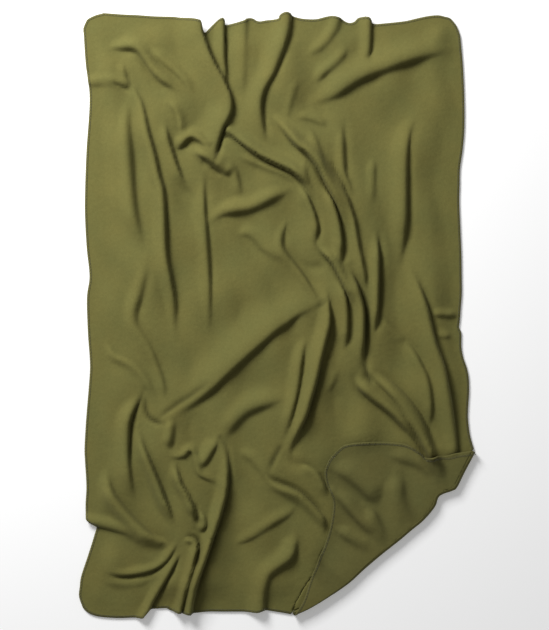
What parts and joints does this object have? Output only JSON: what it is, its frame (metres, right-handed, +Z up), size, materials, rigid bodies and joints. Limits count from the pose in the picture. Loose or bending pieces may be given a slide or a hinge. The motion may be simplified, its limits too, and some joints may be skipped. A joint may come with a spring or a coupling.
{
  "type": "camp blanket",
  "caption": "Olive fleece camp blanket with an overlocked rim, lying wrinkled with one corner turned back over the top.",
  "frame": {"origin": "on the ground under the middle of the spread blanket's box", "axes": "+X to the blanket's right edge, +Y to its head end, +Z up from the ground"},
  "size_m": [1.135, 1.7318, 0.0468],
  "materials": {
    "fleece": "soft brushed fleece, matt",
    "overlock_thread": "spun polyester thread, slight sheen"
  },
  "bodies": {
    "blanket": {"fleece_panel": "fleece", "needle_thread": "overlock_thread", "upper_looper_thread": "overlock_thread", "lower_looper_thread": "overlock_thread"},
    "corner_flap": {"turned_corner": "fleece", "corner_needle_thread": "overlock_thread", "corner_upper_looper_thread": "overlock_thread", "corner_lower_looper_thread": "overlock_thread"}
  },
  "joints": [
    {"name": "corner_fold", "type": "hinge", "parent": "blanket", "child": "corner_flap", "pos_m": [0.33876, -0.6597, 0.011], "axis": [0.7441, 0.6681, 0], "range_deg": [0, 170]}
  ]
}
